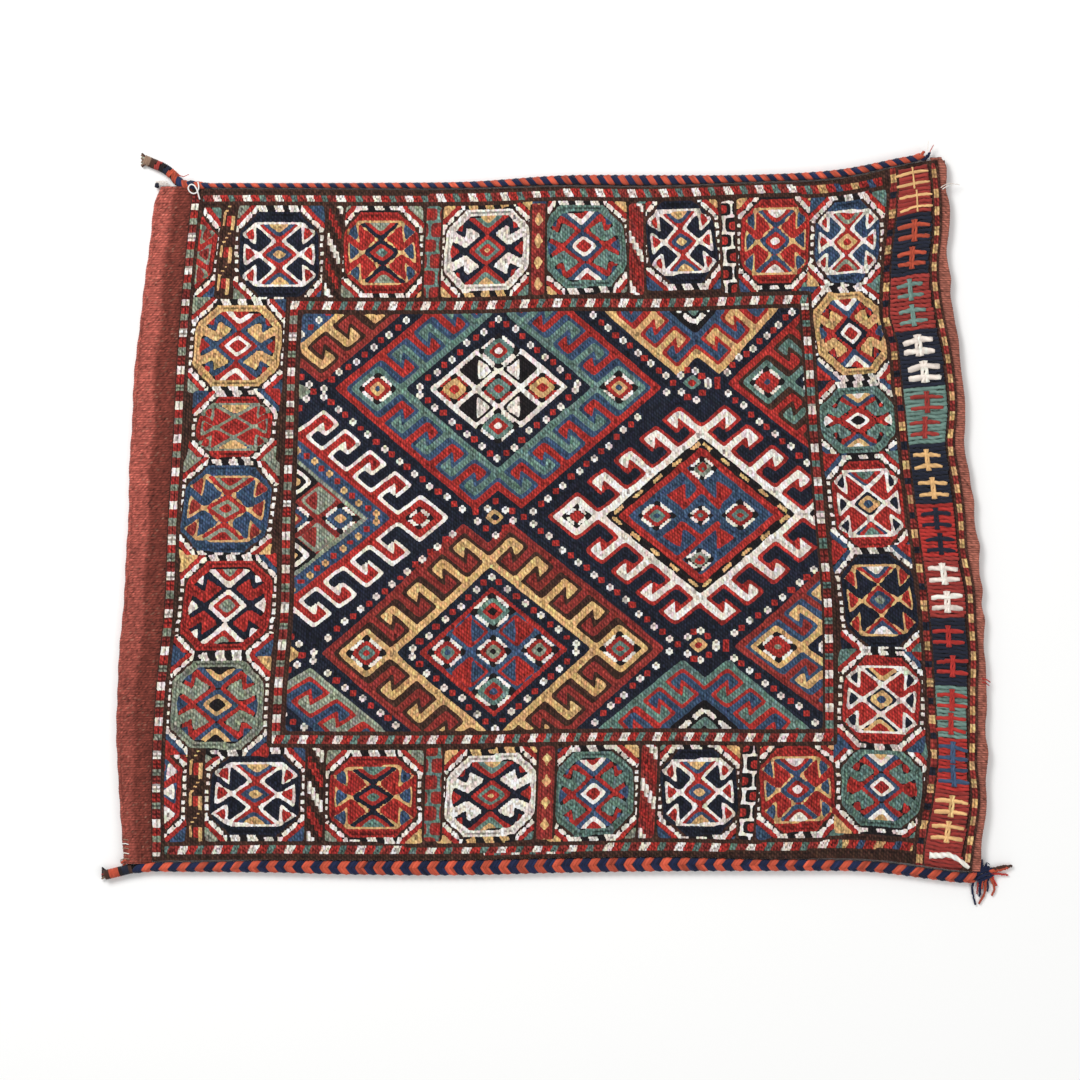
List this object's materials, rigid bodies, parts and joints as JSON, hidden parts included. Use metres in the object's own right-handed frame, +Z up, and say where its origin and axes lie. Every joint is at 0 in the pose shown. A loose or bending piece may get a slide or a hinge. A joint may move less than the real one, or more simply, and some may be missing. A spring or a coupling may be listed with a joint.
{
  "type": "grain bag",
  "caption": "Flat-woven wool grain bag lying empty: one folded cloth with a wrapped octagon and hooked-diamond pattern, plaited side braids, loose ends and an open mouth.",
  "frame": {"origin": "centre of the underside's box, on the surface that the bag lies on", "axes": "+Z up out of the patterned front, +X from the fold at the bag's bottom towards its mouth, +Y towards its upper side"},
  "size_m": [1.0882, 0.9158, 0.021],
  "materials": {
    "woven_cloth": "hand-spun wool, weft-wrapped pattern on a plain weave",
    "plaited_braid": "plaited wool yarn in two colours",
    "loose_yarn": "frayed wool yarn",
    "white_string": "twisted cotton string"
  },
  "bodies": {
    "root": {"bag_cloth": "woven_cloth", "upper_braid": "plaited_braid", "lower_braid": "plaited_braid", "mouth_tassel": "loose_yarn", "mouth_tuft": "loose_yarn", "corner_knot": "loose_yarn", "tag_string": "white_string"}
  },
  "joints": []
}
